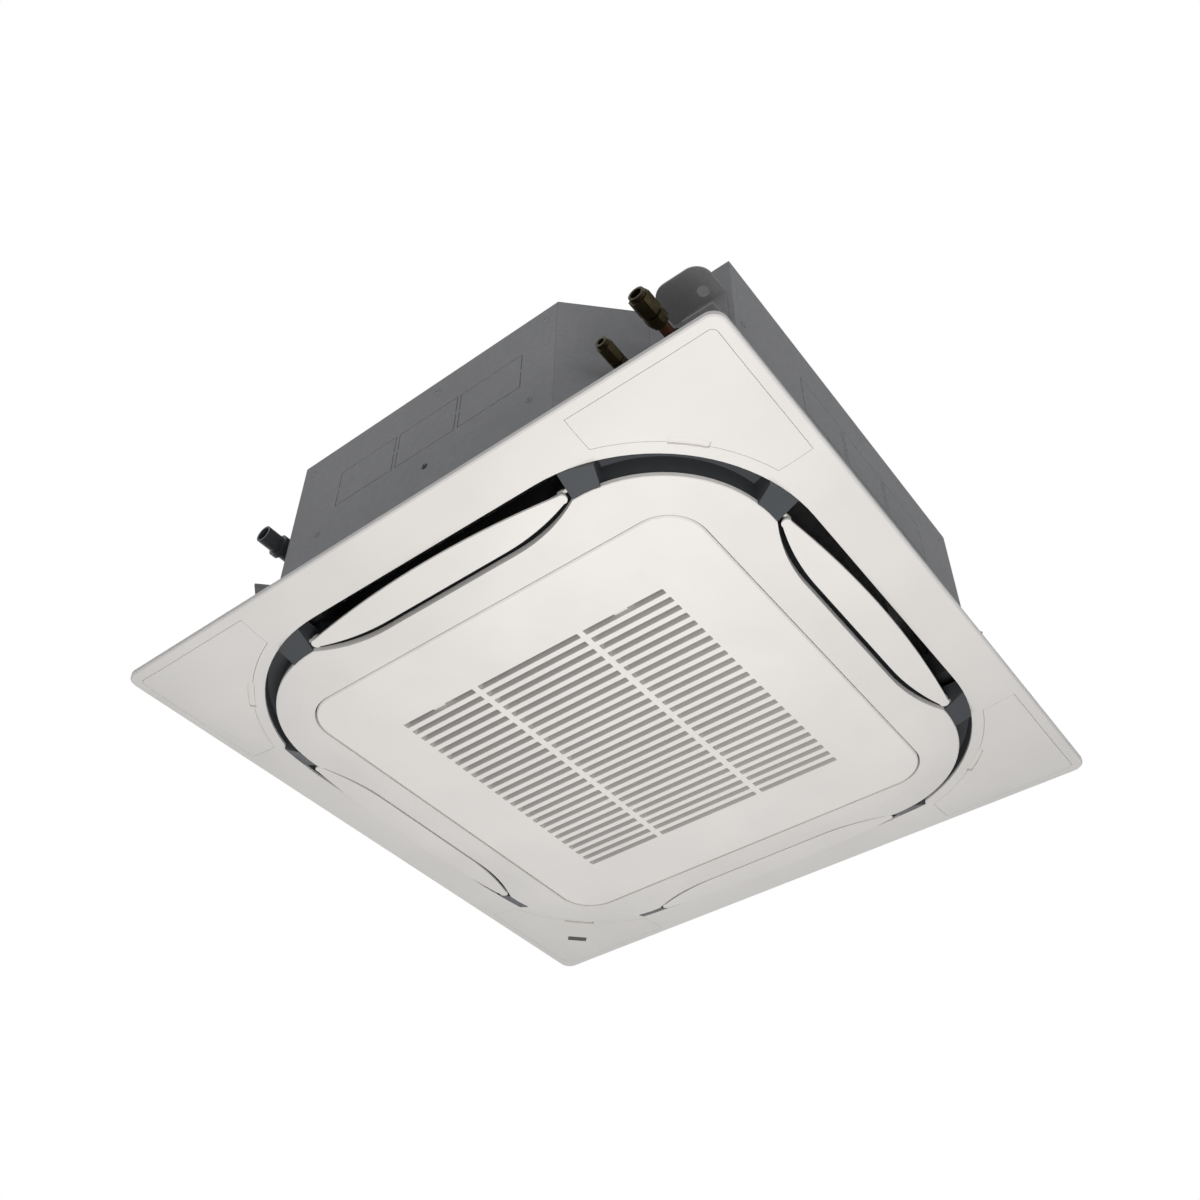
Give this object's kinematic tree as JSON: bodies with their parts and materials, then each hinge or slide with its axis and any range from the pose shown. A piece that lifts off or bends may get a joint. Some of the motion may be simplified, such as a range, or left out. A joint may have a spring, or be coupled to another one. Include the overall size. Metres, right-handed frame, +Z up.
{
  "type": "ceiling cassette air conditioner",
  "caption": "Four-way ceiling cassette air conditioner with a domed panel, swinging air flaps, a hinged suction grille and a sheet-metal body.",
  "frame": {"origin": "centre line of the panel, at the height of the suction grille's lowest room-side face", "axes": "+Z up into the ceiling, +X and +Y along the panel's sides; the pipes leave at the corner (+X, -Y)"},
  "size_m": [0.95, 0.95, 0.366],
  "materials": {
    "panel_white": "satin moulded",
    "flap_white": "satin moulded",
    "grille_white": "satin moulded",
    "ring_grey": "fine grained",
    "lamp_dark": "smoked",
    "seal_foam": "open foam",
    "lug_steel": "galvanised",
    "screw_steel": "zinc plated",
    "motor_housing": "moulded",
    "bush_plastic": "moulded",
    "pin_steel": "ground",
    "filter_plastic": "moulded",
    "filter_mesh": "woven mesh",
    "latch_white": "moulded",
    "casing_steel": "galvanised sheet",
    "liner_foam": "moulded foam",
    "pan_foam": "moulded foam with a plastic skin",
    "fin_aluminium": "fin edges",
    "end_steel": "galvanised sheet",
    "copper": "drawn tube",
    "fitting_brass": "machined, dulled",
    "grommet_rubber": "moulded",
    "motor_steel": "painted",
    "mount_rubber": "moulded",
    "fan_plastic": "moulded",
    "bell_plastic": "moulded",
    "board_green": "coated board",
    "terminal_white": "moulded",
    "sensor_black": "moulded",
    "pump_plastic": "moulded",
    "hose_rubber": "smooth",
    "socket_plastic": "moulded",
    "float_white": "moulded",
    "bracket_steel": "galvanised sheet"
  },
  "bodies": {
    "unit": {"panel_frame": "panel_white", "panel_island": "panel_white", "outlet_ring": "ring_grey", "panel_seals": "seal_foam", "panel_lugs": "lug_steel", "panel_screws": "screw_steel", "casing_screws": "screw_steel", "flap_motors": "motor_housing", "flap_bushes": "bush_plastic", "grille_hinge_arms": "lug_steel", "casing_shell": "casing_steel", "casing_top": "casing_steel", "knockout_plates": "casing_steel", "insulation_liner": "liner_foam", "drain_pan": "pan_foam", "heat_exchanger_fins": "fin_aluminium", "coil_end_plates": "end_steel", "coil_return_bends": "copper", "gas_pipe": "copper", "liquid_pipe": "copper", "flare_unions": "fitting_brass", "flare_nuts": "fitting_brass", "wall_grommets": "grommet_rubber", "fan_motor": "motor_steel", "motor_mounts": "mount_rubber", "bell_mouth": "bell_plastic", "control_box": "end_steel", "control_box_lid": "end_steel", "control_board": "board_green", "terminal_block": "terminal_white", "room_thermistor": "sensor_black", "drain_pump": "pump_plastic", "drain_hose": "hose_rubber", "drain_socket": "socket_plastic", "float_guide": "float_white", "hanger_bracket_1": "bracket_steel", "hanger_bracket_2": "bracket_steel", "hanger_bracket_3": "bracket_steel", "hanger_bracket_4": "bracket_steel"},
    "fan": {"turbo_fan": "fan_plastic", "motor_shaft": "pin_steel", "fan_nut": "screw_steel"},
    "flap_1": {"flap_1": "flap_white"},
    "flap_2": {"flap_2": "flap_white"},
    "flap_3": {"flap_3": "flap_white"},
    "flap_4": {"flap_4": "flap_white"},
    "grille": {"suction_grille": "grille_white", "grille_hinge_pins": "pin_steel", "air_filter_frame": "filter_plastic", "filter_net": "filter_mesh"},
    "latch_1": {"latch_1": "latch_white"},
    "latch_2": {"latch_2": "latch_white"},
    "pump_rotor": {"drain_pump_impeller": "pump_plastic"},
    "float": {"float_bulb": "float_white"},
    "cover_1": {"corner_cover_1": "panel_white"},
    "cover_2": {"corner_cover_2": "panel_white"},
    "cover_3": {"corner_cover_3": "panel_white", "signal_lamp": "lamp_dark"},
    "cover_4": {"corner_cover_4": "panel_white"}
  },
  "joints": [
    {"name": "fan_spin", "type": "hinge", "parent": "unit", "child": "fan", "pos_m": [0, 0, 0.26], "axis": [0, 0, 1], "continuous": true},
    {"name": "flap_1_swing", "type": "hinge", "parent": "unit", "child": "flap_1", "pos_m": [0, -0.3865, 0.02], "axis": [1, 0, 0], "range_deg": [0, 50]},
    {"name": "flap_2_swing", "type": "hinge", "parent": "unit", "child": "flap_2", "pos_m": [0.3865, 0, 0.02], "axis": [0, 1, 0], "range_deg": [0, 50]},
    {"name": "flap_3_swing", "type": "hinge", "parent": "unit", "child": "flap_3", "pos_m": [0, 0.3865, 0.02], "axis": [-1, 0, 0], "range_deg": [0, 50]},
    {"name": "flap_4_swing", "type": "hinge", "parent": "unit", "child": "flap_4", "pos_m": [-0.3865, 0, 0.02], "axis": [0, -1, 0], "range_deg": [0, 50]},
    {"name": "grille_swing", "type": "hinge", "parent": "unit", "child": "grille", "pos_m": [0, 0.261, 0.008], "axis": [1, 0, 0], "range_deg": [0, 85]},
    {"name": "latch_1_slide", "type": "slide", "parent": "grille", "child": "latch_1", "axis": [0, 1, 0], "range_m": [0, 0.0045], "stiffness_N_per_m": 150},
    {"name": "latch_2_slide", "type": "slide", "parent": "grille", "child": "latch_2", "axis": [0, 1, 0], "range_m": [0, 0.0045], "stiffness_N_per_m": 150},
    {"name": "pump_spin", "type": "hinge", "parent": "unit", "child": "pump_rotor", "pos_m": [-0.308, -0.308, 0.108], "axis": [0, 0, 1], "continuous": true},
    {"name": "float_rise", "type": "slide", "parent": "unit", "child": "float", "axis": [0, 0, 1], "range_m": [0, 0.012]},
    {"name": "cover_1_pull", "type": "slide", "parent": "unit", "child": "cover_1", "axis": [0, 0, -1], "range_m": [0, 0.04]},
    {"name": "cover_2_pull", "type": "slide", "parent": "unit", "child": "cover_2", "axis": [0, 0, -1], "range_m": [0, 0.04]},
    {"name": "cover_3_pull", "type": "slide", "parent": "unit", "child": "cover_3", "axis": [0, 0, -1], "range_m": [0, 0.04]},
    {"name": "cover_4_pull", "type": "slide", "parent": "unit", "child": "cover_4", "axis": [0, 0, -1], "range_m": [0, 0.04]}
  ]
}
